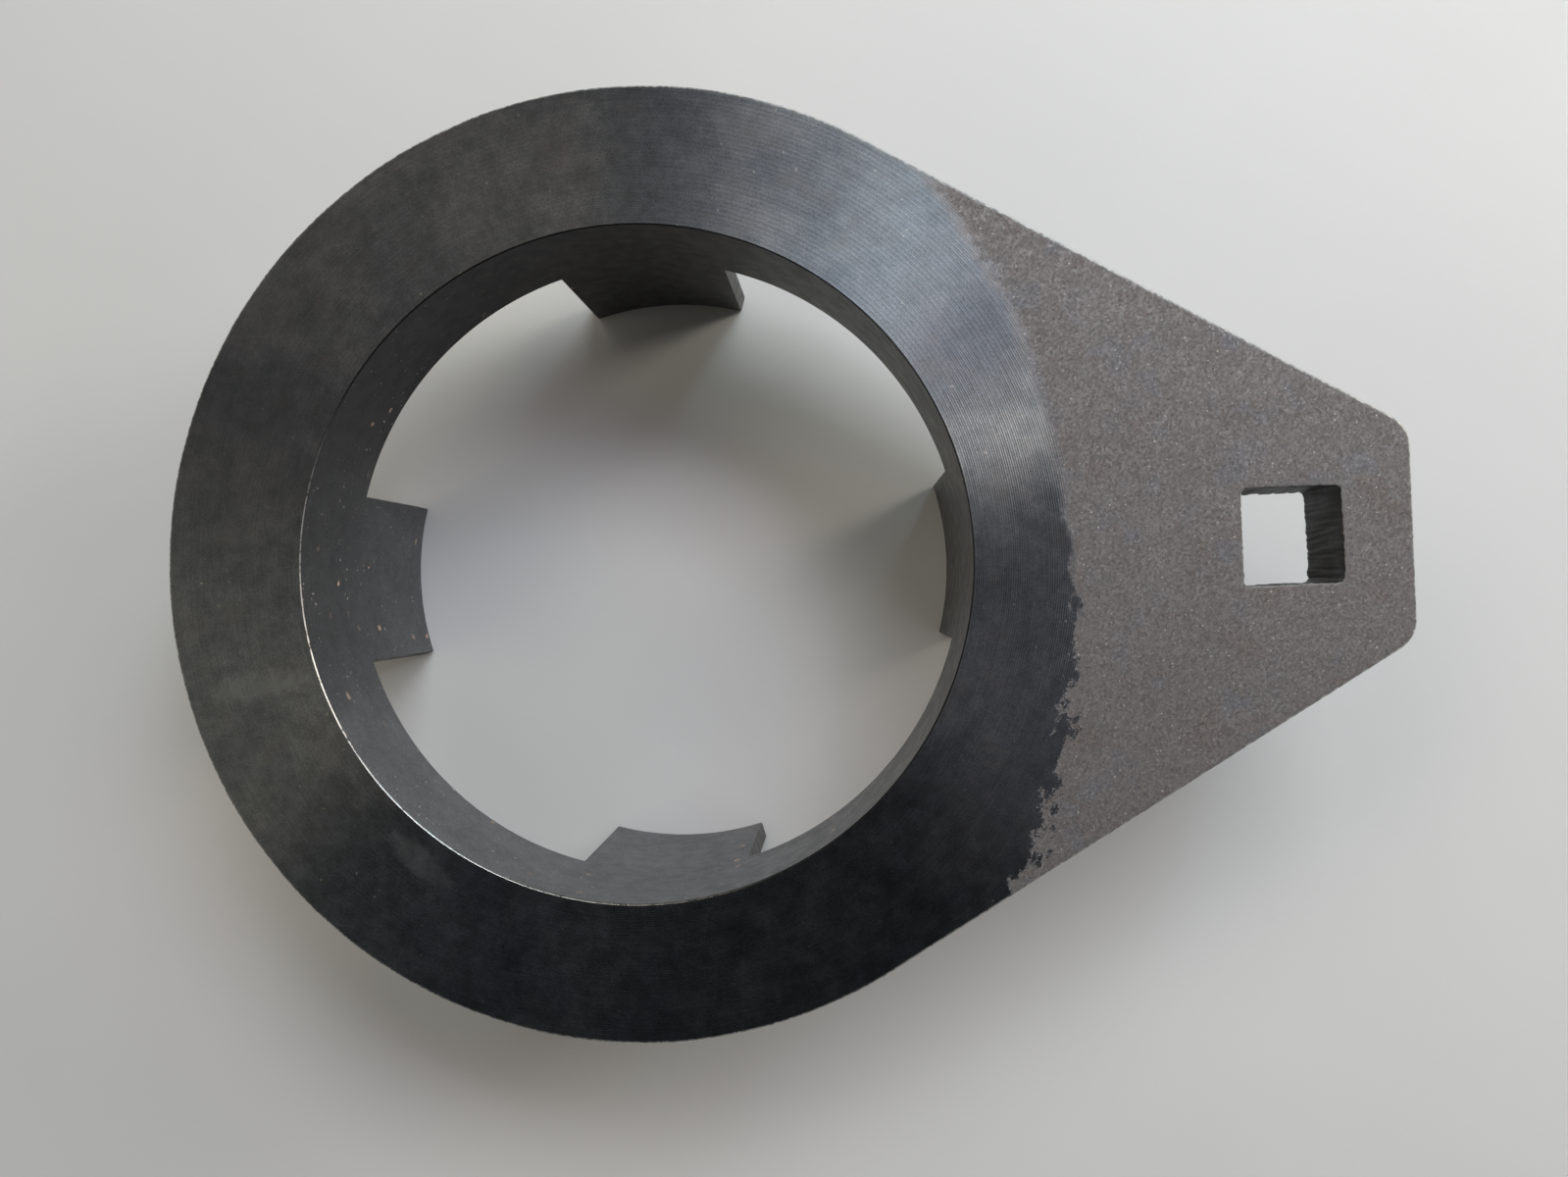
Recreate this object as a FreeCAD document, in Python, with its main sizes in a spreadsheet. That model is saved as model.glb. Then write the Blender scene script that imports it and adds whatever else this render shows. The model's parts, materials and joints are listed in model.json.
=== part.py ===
import FreeCAD, Part
import math
import os

import Sketcher

# Oil filter wrench: a keyhole-shaped steel plate with a square drive hole in its arm,
# and a thin sleeve through its eye whose lower end is cut into four lugs.
# The sleeve is welded to the plate above and below, then bored and faced in one setting.
#
# Frame: the origin is on the bore's axis, in the plane of the lug tips.
# +X points along the arm to the drive hole, +Z points up from the lugs to the turned face.

# Driving dimensions, in millimetres.
DIMENSIONS = {
    "eye_diameter": (127.5, "outside diameter of the plate's round eye"),
    "plate_thickness": (12.0, "thickness of the lever plate"),
    "arm_end_distance": (101.0, "from the bore's axis to the end of the arm"),
    "arm_end_width": (27.2, "width of the arm's end, before its corners are rounded"),
    "arm_corner_radius": (4.5, "radius of the two corners at the arm's end"),
    "edge_break": (0.3, "bevel of the plate's worn outer edges"),
    "drive_distance": (86.0, "from the bore's axis to the centre of the drive hole"),
    "drive_square": (13.0, "side of the drive hole, for a half-inch square drive"),
    "drive_corner_radius": (1.0, "radius of the drive hole's corners"),
    "bore_diameter": (90.4, "diameter of the bore, and of the lugs' inner faces"),
    "sleeve_wall": (2.5, "wall thickness of the sleeve, and so of each lug"),
    "overall_height": (43.0, "from the lug tips to the turned face"),
    "collar_height": (18.0, "height of the sleeve's uncut ring, from the turned face down"),
    "lug_angle": (31.5, "angle that each lug spans about the bore, in degrees"),
    "bore_chamfer": (0.5, "chamfer round the mouth of the bore"),
    "tip_chamfer": (0.3, "chamfer along both long edges of each lug tip"),
    "groove_size": (4.0, "depth and width of the bevelled groove under the face weld"),
    "bead_leg": (4.5, "leg length of the fillet weld under the plate"),
    "bead_crown": (0.6, "how far that fillet weld stands proud of a straight slope"),
}
SHEET = "Dimensions"
LUG_COUNT = 4
TOLERANCE = 1e-4


def add_sheet(doc):
    """Put the driving dimensions in a sheet: a name, a number with an alias, and a note."""
    sheet = doc.addObject("Spreadsheet::Sheet", SHEET)
    for row, (alias, (value, note)) in enumerate(DIMENSIONS.items(), start=1):
        sheet.set(f"A{row}", alias)
        sheet.set(f"B{row}", str(value))
        sheet.setAlias(f"B{row}", alias)
        sheet.set(f"C{row}", note)
    doc.recompute()
    return sheet


def size(alias):
    """The starting value of a driving dimension, for drawing a sketch near its true size."""
    return DIMENSIONS[alias][0]


def cell(formula):
    """Write a formula of aliases as an expression, so that eye_diameter reads its cell."""
    words = formula.replace("(", "( ").replace(")", " )").split()
    return " ".join(f"{SHEET}.{word}" if word in DIMENSIONS else word for word in words)


def add_body(doc, label, height_formula):
    """A body named as its sub-part, raised to its own height above the lug tips."""
    body = doc.addObject("PartDesign::Body", label)
    body.Label = label
    body.setExpression("Placement.Base.z", cell(height_formula))
    return body


def add_sketch(body, name, role):
    """A sketch on one of the body's own origin planes."""
    plane = next(item for item in body.Origin.OriginFeatures if item.Role == role)
    sketch = body.newObject("Sketcher::SketchObject", name)
    sketch.AttachmentSupport = [(plane, "")]
    sketch.MapMode = "FlatFace"
    return sketch


def constrain(sketch, *details):
    sketch.addConstraint(Sketcher.Constraint(*details))


def drive(sketch, name, formula, *details):
    """Add a dimension to a sketch and bind it to the sheet."""
    index = sketch.addConstraint(Sketcher.Constraint(*details))
    sketch.renameConstraint(index, name)
    sketch.setExpression(f"Constraints.{name}", cell(formula))


def point(x, y):
    return FreeCAD.Vector(x, y, 0)


def add_circle(sketch, name, formula, radius):
    """A circle about the sketch's origin with its diameter bound to the sheet."""
    circle = sketch.addGeometry(Part.Circle(point(0, 0), FreeCAD.Vector(0, 0, 1), radius))
    constrain(sketch, "Coincident", circle, 3, -1, 1)
    drive(sketch, name, formula, "Diameter", circle, 2 * radius)


def add_polygon(sketch, corners):
    """A closed chain of straight lines; returns the number of its first line."""
    lines = []
    for start, end in zip(corners, corners[1:] + corners[:1]):
        lines.append(sketch.addGeometry(Part.LineSegment(start, end)))
    for line, following in zip(lines, lines[1:] + lines[:1]):
        constrain(sketch, "Coincident", line, 2, following, 1)
    return lines[0]


def add_pad(body, name, sketch, formula):
    pad = body.newObject("PartDesign::Pad", name)
    pad.Profile = sketch
    pad.setExpression("Length", cell(formula))
    return pad


def add_revolution(body, name, sketch):
    """Turn a profile once round the bore's axis."""
    turned = body.newObject("PartDesign::Revolution", name)
    turned.Profile = sketch
    turned.ReferenceAxis = (sketch, ["V_Axis"])
    turned.Angle = 360
    return turned


def add_edge_feature(body, kind, name, base, wanted, formula):
    """Fillet or chamfer every edge of the last feature that the test picks."""
    body.Document.recompute()
    edges = []
    for number, edge in enumerate(base.Shape.Edges, start=1):
        if wanted(edge):
            edges.append(f"Edge{number}")
    if not edges:
        raise RuntimeError(f"{name}: no edges found")
    feature = body.newObject(f"PartDesign::{kind}", name)
    feature.Base = (base, edges)
    feature.setExpression("Radius" if kind == "Fillet" else "Size", cell(formula))
    return feature


def is_upright(edge):
    """Whether a straight edge runs along Z."""
    box = edge.BoundBox
    return box.ZLength > TOLERANCE and max(box.XLength, box.YLength) < TOLERANCE


def lies_level(edge, height):
    """Whether an edge lies in the plane z = height."""
    return abs(edge.BoundBox.ZMin - height) < TOLERANCE and edge.BoundBox.ZLength < TOLERANCE


def is_circle(edge, radius):
    """Whether an edge is an arc of this radius about the bore's axis."""
    reach = [math.hypot(vertex.X, vertex.Y) for vertex in edge.Vertexes]
    curved = isinstance(edge.Curve, Part.Circle) and abs(edge.Curve.Radius - radius) < TOLERANCE
    return curved and all(abs(distance - radius) < TOLERANCE for distance in reach)


def draw_plate_outline(body):
    """The eye's arc, two flanks tangent to it, and the straight end of the arm."""
    sketch = add_sketch(body, "PlateOutline", "XY_Plane")
    radius = size("eye_diameter") / 2
    end_x = size("arm_end_distance")
    end_y = size("arm_end_width") / 2
    reach = math.hypot(end_x, end_y)
    turn = math.atan2(end_y, end_x) + math.acos(radius / reach)
    upper = point(radius * math.cos(turn), radius * math.sin(turn))
    lower = point(upper.x, -upper.y)
    circle = Part.Circle(point(0, 0), FreeCAD.Vector(0, 0, 1), radius)
    arc = sketch.addGeometry(Part.ArcOfCircle(circle, turn, 2 * math.pi - turn))
    low_flank = sketch.addGeometry(Part.LineSegment(lower, point(end_x, -end_y)))
    end_line = sketch.addGeometry(Part.LineSegment(point(end_x, -end_y), point(end_x, end_y)))
    high_flank = sketch.addGeometry(Part.LineSegment(point(end_x, end_y), upper))
    constrain(sketch, "Coincident", arc, 3, -1, 1)
    constrain(sketch, "Tangent", arc, 2, low_flank, 1)
    constrain(sketch, "Coincident", low_flank, 2, end_line, 1)
    constrain(sketch, "Coincident", end_line, 2, high_flank, 1)
    constrain(sketch, "Tangent", high_flank, 2, arc, 1)
    constrain(sketch, "Symmetric", end_line, 1, end_line, 2, -1)
    drive(sketch, "EyeRadius", "eye_diameter / 2", "Radius", arc, radius)
    drive(sketch, "EndDistance", "arm_end_distance", "DistanceX", -1, 1, end_line, 2, end_x)
    drive(sketch, "EndWidth", "arm_end_width", "DistanceY", end_line, 1, end_line, 2, 2 * end_y)
    outer_radius = size("bore_diameter") / 2 + size("sleeve_wall")
    add_circle(sketch, "SleeveHole", "bore_diameter + 2 * sleeve_wall", outer_radius)
    return sketch


def draw_drive_square(body):
    """The square of the drive hole, centred on the arm."""
    sketch = add_sketch(body, "DriveSquare", "XY_Plane")
    half = size("drive_square") / 2
    near = size("drive_distance") - half
    far = size("drive_distance") + half
    corners = [point(near, -half), point(far, -half), point(far, half), point(near, half)]
    first = add_polygon(sketch, corners)
    constrain(sketch, "Horizontal", first)
    constrain(sketch, "Horizontal", first + 2)
    constrain(sketch, "Vertical", first + 3)
    constrain(sketch, "Symmetric", first, 2, first + 1, 2, -1)
    drive(sketch, "SideAcross", "drive_square", "DistanceY", first + 1, 1, first + 1, 2, 2 * half)
    drive(sketch, "SideAlong", "drive_square", "DistanceX", first, 1, first, 2, 2 * half)
    near_side = "drive_distance - drive_square / 2"
    drive(sketch, "NearSide", near_side, "DistanceX", -1, 1, first, 1, near)
    return sketch


def make_lever_plate(doc):
    """The plate: eye and arm in one, bored for the sleeve, with a bevel for the face weld."""
    body = add_body(doc, "lever_plate", "overall_height - plate_thickness")
    thickness = size("plate_thickness")
    eye_radius = size("eye_diameter") / 2
    hole_radius = size("bore_diameter") / 2 + size("sleeve_wall")
    slab = add_pad(body, "Slab", draw_plate_outline(body), "plate_thickness")

    corners = add_edge_feature(
        body, "Fillet", "ArmCorners", slab,
        lambda edge: is_upright(edge) and edge.BoundBox.XMin > eye_radius,
        "arm_corner_radius")

    def is_outline(edge):
        on_face = lies_level(edge, 0) or lies_level(edge, thickness)
        return on_face and not is_circle(edge, hole_radius)

    add_edge_feature(body, "Chamfer", "WornEdges", corners, is_outline, "edge_break")

    square = draw_drive_square(body)
    drive_hole = body.newObject("PartDesign::Pocket", "DriveHole")
    drive_hole.Profile = square
    drive_hole.Type = "Length"
    drive_hole.Reversed = True
    drive_hole.setExpression("Length", cell("plate_thickness"))

    reach = size("drive_distance") + size("drive_square") / 2 + TOLERANCE
    drive_corners = add_edge_feature(
        body, "Fillet", "DriveCorners", drive_hole,
        lambda edge: is_upright(edge) and eye_radius < edge.BoundBox.XMin < reach,
        "drive_corner_radius")

    body.Tip = add_edge_feature(
        body, "Chamfer", "WeldGroove", drive_corners,
        lambda edge: lies_level(edge, thickness) and is_circle(edge, hole_radius),
        "groove_size")
    return body


def draw_lug_gap(body):
    """The wedge cut away between two lugs: two radial flanks, closed outside the wall."""
    sketch = add_sketch(body, "LugGap", "XY_Plane")
    reach = size("eye_diameter") / 2
    half_lug = math.radians(size("lug_angle") / 2)
    near_x = point(reach * math.cos(half_lug), reach * math.sin(half_lug))
    near_y = point(near_x.y, near_x.x)
    first = add_polygon(sketch, [point(0, 0), near_x, near_y])
    constrain(sketch, "Coincident", first, 1, -1, 1)
    constrain(sketch, "Equal", first, first + 2)
    half_angle = "lug_angle / 2 * 1 deg"
    drive(sketch, "FlankX", half_angle, "Angle", -1, 1, first, 1, half_lug)
    drive(sketch, "FlankY", half_angle, "Angle", first + 2, 2, -2, 1, half_lug)
    drive(sketch, "Reach", "eye_diameter / 2", "Distance", first, reach)
    return sketch


def make_lug_sleeve(doc):
    """The sleeve: a thin tube whose lower end is cut into lugs with radial flanks."""
    body = add_body(doc, "lug_sleeve", "0 mm")
    height = size("overall_height")
    bore_radius = size("bore_diameter") / 2
    outer_radius = bore_radius + size("sleeve_wall")

    ring = add_sketch(body, "TubeSection", "XY_Plane")
    add_circle(ring, "Bore", "bore_diameter", bore_radius)
    add_circle(ring, "Outside", "bore_diameter + 2 * sleeve_wall", outer_radius)
    add_pad(body, "Tube", ring, "overall_height")

    gap_sketch = draw_lug_gap(body)
    gap = body.newObject("PartDesign::Pocket", "FirstGap")
    gap.Profile = gap_sketch
    gap.Type = "Length"
    gap.Reversed = True
    gap.setExpression("Length", cell("overall_height - collar_height"))

    gaps = body.newObject("PartDesign::PolarPattern", "LugGaps")
    gaps.Originals = [gap]
    gaps.Axis = (gap_sketch, ["N_Axis"])
    gaps.Angle = 360
    gaps.Occurrences = LUG_COUNT
    body.Tip = gaps

    mouth = add_edge_feature(
        body, "Chamfer", "BoreMouth", gaps,
        lambda edge: lies_level(edge, height) and is_circle(edge, bore_radius),
        "bore_chamfer")

    def is_tip_edge(edge):
        along_wall = is_circle(edge, bore_radius) or is_circle(edge, outer_radius)
        return lies_level(edge, 0) and along_wall

    body.Tip = add_edge_feature(body, "Chamfer", "LugTips", mouth, is_tip_edge, "tip_chamfer")
    return body


def make_face_weld(doc):
    """The groove weld between plate and sleeve, turned flush with the top face."""
    body = add_body(doc, "face_weld", "overall_height - groove_size")
    sketch = add_sketch(body, "GrooveSection", "XZ_Plane")
    inner = size("bore_diameter") / 2 + size("sleeve_wall")
    groove = size("groove_size")
    corners = [point(inner, 0), point(inner + groove, groove), point(inner, groove)]
    first = add_polygon(sketch, corners)
    constrain(sketch, "Horizontal", first + 1)
    constrain(sketch, "Vertical", first + 2)
    constrain(sketch, "PointOnObject", first, 1, -1)
    root = "bore_diameter / 2 + sleeve_wall"
    drive(sketch, "RootRadius", root, "DistanceX", -1, 1, first, 1, inner)
    drive(sketch, "Depth", "groove_size", "DistanceY", first, 1, first, 2, groove)
    drive(sketch, "Width", "groove_size", "DistanceX", first, 1, first, 2, groove)
    body.Tip = add_revolution(body, "TurnedGroove", sketch)
    return body


def make_underside_weld(doc):
    """The fillet weld in the corner between the plate's underside and the sleeve."""
    body = add_body(doc, "underside_weld", "overall_height - plate_thickness")
    sketch = add_sketch(body, "BeadSection", "XZ_Plane")
    inner = size("bore_diameter") / 2 + size("sleeve_wall")
    leg = size("bead_leg")
    crown = size("bead_crown")
    middle = leg / 2 + crown / math.sqrt(2)
    root = point(inner, 0)
    on_plate = point(inner + leg, 0)
    on_sleeve = point(inner, -leg)
    upper_leg = sketch.addGeometry(Part.LineSegment(root, on_plate))
    surface = sketch.addGeometry(Part.Arc(on_plate, point(inner + middle, -middle), on_sleeve))
    inner_leg = sketch.addGeometry(Part.LineSegment(on_sleeve, root))
    # A sketch arc runs anticlockwise, so this bead's arc starts on the sleeve and ends on the plate.
    constrain(sketch, "Coincident", upper_leg, 2, surface, 2)
    constrain(sketch, "Coincident", surface, 1, inner_leg, 1)
    constrain(sketch, "Coincident", inner_leg, 2, upper_leg, 1)
    constrain(sketch, "Horizontal", upper_leg)
    constrain(sketch, "Vertical", inner_leg)
    constrain(sketch, "PointOnObject", upper_leg, 1, -1)
    arc_radius = (leg * leg / 2 + crown * crown) / (2 * crown)
    root_formula = "bore_diameter / 2 + sleeve_wall"
    arc_formula = "( bead_leg * bead_leg / 2 + bead_crown * bead_crown ) / ( 2 * bead_crown )"
    drive(sketch, "RootRadius", root_formula, "DistanceX", -1, 1, upper_leg, 1, inner)
    drive(sketch, "PlateLeg", "bead_leg", "DistanceX", upper_leg, 1, upper_leg, 2, leg)
    drive(sketch, "SleeveLeg", "bead_leg", "DistanceY", inner_leg, 1, inner_leg, 2, leg)
    drive(sketch, "SurfaceRadius", arc_formula, "Radius", surface, arc_radius)
    body.Tip = add_revolution(body, "Bead", sketch)
    return body


def check_document(doc, bodies):
    """Stop if any object failed, or any sub-part isn't one valid solid."""
    for item in doc.Objects:
        if "Invalid" in item.State or "Error" in item.State:
            raise RuntimeError(f"{item.Name} failed: {item.State}")
    for body in bodies:
        shape = body.Shape
        if shape.isNull() or not shape.isValid() or len(shape.Solids) != 1:
            raise RuntimeError(f"{body.Label} is not one valid solid")


def main():
    doc = FreeCAD.newDocument("OilFilterWrench")
    add_sheet(doc)
    makers = [make_lever_plate, make_lug_sleeve, make_face_weld, make_underside_weld]
    bodies = [make(doc) for make in makers]
    doc.recompute()
    check_document(doc, bodies)
    os.makedirs("parts", exist_ok=True)
    for body in bodies:
        body.Shape.exportStep(os.path.join("parts", f"{body.Label}.step"))
        box = body.Shape.BoundBox
        print(f"{body.Label}: {body.Shape.Volume:.1f} mm3, z {box.ZMin:.2f} to {box.ZMax:.2f}")


main()
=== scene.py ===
import json
import math

import bmesh
import bpy
from mathutils import Matrix, Vector, noise
from mathutils.geometry import tessellate_polygon


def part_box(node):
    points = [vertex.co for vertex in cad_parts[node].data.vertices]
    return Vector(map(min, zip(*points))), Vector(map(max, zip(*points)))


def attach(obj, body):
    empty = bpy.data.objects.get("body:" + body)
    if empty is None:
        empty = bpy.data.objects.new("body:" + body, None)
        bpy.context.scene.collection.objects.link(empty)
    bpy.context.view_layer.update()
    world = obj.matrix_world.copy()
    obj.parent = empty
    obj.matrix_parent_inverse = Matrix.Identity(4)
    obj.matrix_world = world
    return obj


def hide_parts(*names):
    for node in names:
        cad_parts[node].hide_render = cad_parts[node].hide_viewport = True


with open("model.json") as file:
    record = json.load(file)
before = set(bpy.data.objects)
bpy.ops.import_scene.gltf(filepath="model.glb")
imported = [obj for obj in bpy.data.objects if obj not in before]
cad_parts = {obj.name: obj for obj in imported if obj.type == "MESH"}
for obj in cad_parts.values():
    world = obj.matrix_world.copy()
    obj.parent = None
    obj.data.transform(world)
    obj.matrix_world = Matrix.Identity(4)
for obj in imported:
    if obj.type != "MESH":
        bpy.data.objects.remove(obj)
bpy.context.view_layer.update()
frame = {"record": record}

# Lengths are in metres, in the part's own frame: the bore's axis is Z, the lug tips are at
# z = 0 and the arm points along +X. MM turns a length in millimetres into metres.
MM = 0.001

# Every round piece is divided at the same angles, so that neighbours meet without a gap.
# The lugs' flanks fall on these angles.
RING_COUNT = 720
RING_ANGLES = [math.radians(0.25 + 0.5 * step) for step in range(RING_COUNT)]
LUG_HALF_ANGLE = math.radians(15.75)
LUG_PITCH = math.radians(90)

PLATE_LOW, PLATE_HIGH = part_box("lever_plate")
SLEEVE_LOW, SLEEVE_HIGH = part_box("lug_sleeve")
WELD_LOW, WELD_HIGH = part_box("face_weld")
BEAD_LOW, BEAD_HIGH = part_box("underside_weld")
MOUNTS = {mount["name"]: mount for mount in frame["record"]["mounts"]}

TOP = PLATE_HIGH.z
UNDERSIDE = PLATE_LOW.z
EYE_RADIUS = PLATE_HIGH.y
ARM_END = PLATE_HIGH.x
BORE_RADIUS = MOUNTS["bore"]["dims"]["r_mm"] * MM
SLEEVE_RADIUS = SLEEVE_HIGH.x
GROOVE_RADIUS = WELD_HIGH.x
DRIVE_CENTRE = Vector(MOUNTS["drive_square"]["pos_m"][:2])
DRIVE_SHIFT = Vector((-0.08, 0.17)) * MM    # the cut hole sits a little off its centre
DRIVE_HALF_SIDE = 6.38 * MM
DRIVE_CORNER = 1.0 * MM
ARM_HALF_WIDTH = 13.6 * MM
ARM_CORNER = 4.5 * MM
COLLAR_BOTTOM = TOP - 18 * MM
MOUTH_CHAMFER = 0.17 * MM
TIP_CHAMFER = 0.3 * MM


# Mesh helpers

def start_mesh():
    return bmesh.new()


def finish_piece(bm, name, materials, cad_node, smooth_below=35):
    """Turn a bmesh into a shown piece that stands for one CAD node."""
    bmesh.ops.recalc_face_normals(bm, faces=bm.faces)
    mesh = bpy.data.meshes.new(name)
    bm.to_mesh(mesh)
    bm.free()
    for material in materials:
        mesh.materials.append(material)
    mesh.shade_smooth()
    mesh.set_sharp_from_angle(angle=math.radians(smooth_below))
    piece = bpy.data.objects.new(name, mesh)
    bpy.context.scene.collection.objects.link(piece)
    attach(piece, "root")
    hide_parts(cad_node)
    return piece


def make_ring(bm, radius, height):
    """A ring of vertices about the bore's axis, at the shared angles."""
    ring = []
    for angle in RING_ANGLES:
        ring.append(bm.verts.new((radius * math.cos(angle), radius * math.sin(angle), height)))
    return ring


def bridge(bm, first, second, material=0):
    """A closed band of quads between two loops of equal length."""
    count = len(first)
    for index in range(count):
        following = (index + 1) % count
        corners = (first[index], first[following], second[following], second[index])
        bm.faces.new(corners).material_index = material


def fill_flat(bm, outline, holes, material):
    """Fill a flat region between an outline and its holes."""
    loops = [outline] + holes
    verts = [vert for loop in loops for vert in loop]
    for triangle in tessellate_polygon([[vert.co for vert in loop] for loop in loops]):
        bm.faces.new([verts[index] for index in triangle]).material_index = material


# The plate's outlines

def sample_line(start, end, step):
    """Points along a line, without its end."""
    count = max(1, math.ceil((end - start).length / step))
    return [start.lerp(end, index / count) for index in range(count)]


def sample_arc(centre, radius, start, end, step):
    """Points along an arc between two angles, without its end."""
    count = max(2, math.ceil(radius * abs(end - start) / step))
    points = []
    for index in range(count):
        angle = start + (end - start) * index / count
        points.append(centre + radius * Vector((math.cos(angle), math.sin(angle))))
    return points


def round_corner(before, corner, after, radius, step):
    """The arc that rounds a corner: its points, its first point and its last point."""
    back = (before - corner).normalized()
    ahead = (after - corner).normalized()
    half_angle = back.angle(ahead) / 2
    reach = radius / math.tan(half_angle)
    first = corner + back * reach
    last = corner + ahead * reach
    centre = corner + (back + ahead).normalized() * (radius / math.sin(half_angle))
    start = math.atan2(first.y - centre.y, first.x - centre.x)
    end = math.atan2(last.y - centre.y, last.x - centre.x)
    if end < start:
        end += 2 * math.pi
    return sample_arc(centre, radius, start, end, step), first, last


def plate_outline(step):
    """The keyhole outline, anticlockwise from the upper flank's tangent point."""
    end_high = Vector((ARM_END, ARM_HALF_WIDTH))
    end_low = Vector((ARM_END, -ARM_HALF_WIDTH))
    turn = math.atan2(end_high.y, end_high.x) + math.acos(EYE_RADIUS / end_high.length)
    tangent_high = EYE_RADIUS * Vector((math.cos(turn), math.sin(turn)))
    tangent_low = Vector((tangent_high.x, -tangent_high.y))
    low_arc, low_first, low_last = round_corner(tangent_low, end_low, end_high, ARM_CORNER, step)
    high_arc, high_first, high_last = round_corner(
        end_low, end_high, tangent_high, ARM_CORNER, step)
    points = sample_arc(Vector((0, 0)), EYE_RADIUS, turn, 2 * math.pi - turn, step)
    points += sample_line(tangent_low, low_first, step)
    points += low_arc
    points += sample_line(low_last, high_first, step)
    points += high_arc
    points += sample_line(high_last, tangent_high, step)
    return points


def drive_outline(step):
    """The rounded square of the drive hole, anticlockwise."""
    half = DRIVE_HALF_SIDE
    signs = [(1, -1), (1, 1), (-1, 1), (-1, -1)]
    corners = [DRIVE_CENTRE + DRIVE_SHIFT + half * Vector(sign) for sign in signs]
    arcs = []
    for index, corner in enumerate(corners):
        before = corners[index - 1]
        after = corners[(index + 1) % 4]
        arcs.append(round_corner(before, corner, after, DRIVE_CORNER, step / 2))
    points = []
    for index, (arc, first, last) in enumerate(arcs):
        points += arc
        points += sample_line(last, arcs[(index + 1) % 4][1], step)
    return points


def outline_normals(points):
    """The unit normal at each point of an anticlockwise outline, pointing out of it."""
    normals = []
    for index, point in enumerate(points):
        along = points[(index + 1) % len(points)] - points[index - 1]
        normals.append(Vector((along.y, -along.x)).normalized())
    return normals


def arc_lengths(points):
    """The distance along the outline to each point."""
    lengths = [0.0]
    for before, after in zip(points, points[1:]):
        lengths.append(lengths[-1] + (after - before).length)
    return lengths


# The plate's thermally cut walls

WALL_ROWS = 22
EDGE_ROWS = 4
OUTLINE_STEP = 0.3 * MM
OUTLINE_EDGE_RADIUS = 0.24 * MM
HOLE_STEP = 0.16 * MM
HOLE_EDGE_RADIUS = 0.12 * MM
# Depth of the relief, steel left proud of the outline, and the drag lines' lean.
OUTLINE_RELIEF = (0.10 * MM, 0.0, 0.004)
HOLE_RELIEF = (0.25 * MM, 0.20 * MM, 0.001)
FACE_MARGIN = 0.3 * MM


def wall_rows(edge_radius):
    """Heights down a cut wall, each with how far the worn edge draws it in."""
    rows = []
    for step in range(EDGE_ROWS):
        angle = math.pi / 2 * step / EDGE_ROWS
        inset = edge_radius * (1 - math.sin(angle))
        rows.append((TOP - edge_radius * (1 - math.cos(angle)), inset))
    straight_high = TOP - edge_radius
    straight_low = UNDERSIDE + edge_radius
    for step in range(WALL_ROWS + 1):
        rows.append((straight_high + (straight_low - straight_high) * step / WALL_ROWS, 0.0))
    for step in reversed(range(EDGE_ROWS)):
        angle = math.pi / 2 * step / EDGE_ROWS
        inset = edge_radius * (1 - math.sin(angle))
        rows.append((UNDERSIDE + edge_radius * (1 - math.cos(angle)), inset))
    return rows


def cut_relief(place, height, depth_scale, lean, seed):
    """How deep the cutting jet bit at a point of a wall, in metres.

    Drag lines run down the wall, lean back towards its foot and grow coarser there.
    """
    down = (TOP - height) / MM
    along = place / MM + lean * down * down
    fine = noise.noise(Vector((along / 0.42, down / 5, seed)))
    drag = noise.noise(Vector((along / 0.95, down / 14, seed + 7)))
    swell = noise.noise(Vector((along / 9, down / 30, seed + 19)))
    growth = 0.75 + 0.06 * down
    relief = 0.5 + 0.5 * growth * fine + 0.7 * growth * drag + 0.5 * swell
    return depth_scale * max(0.0, relief)


def build_cut_wall(bm, points, inward, rows, relief, seed, materials):
    """A cut wall along an outline; returns its top and bottom loops.

    inward is +1 where the steel lies inside the outline, and -1 round a hole.
    relief is its depth, the steel left proud of the outline (metres), and the lines' lean.
    materials are the wall's own and the one of its rounded edges.
    """
    normals = outline_normals(points)
    places = arc_lengths(points)
    depth_scale, spare, lean = relief
    loops = []
    for height, inset in rows:
        loop = []
        for point, normal, place in zip(points, normals, places):
            bite = cut_relief(place, height, depth_scale, lean, seed) - spare
            moved = point - normal * inward * (inset + bite)
            loop.append(bm.verts.new((moved.x, moved.y, height)))
        if loops:
            on_edge = not EDGE_ROWS <= len(loops) <= len(rows) - EDGE_ROWS
            bridge(bm, loops[-1], loop, materials[on_edge])
        loops.append(loop)
    return loops[0], loops[-1]


def build_margin(bm, loop, inward, width, material):
    """A narrow flat band beside a wall's edge, which keeps the shading of the face flat."""
    points = [Vector((vert.co.x, vert.co.y)) for vert in loop]
    normals = outline_normals(points)
    height = loop[0].co.z
    inner = []
    for point, normal in zip(points, normals):
        moved = point - normal * inward * width
        inner.append(bm.verts.new((moved.x, moved.y, height)))
    bridge(bm, loop, inner, material)
    return inner


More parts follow.
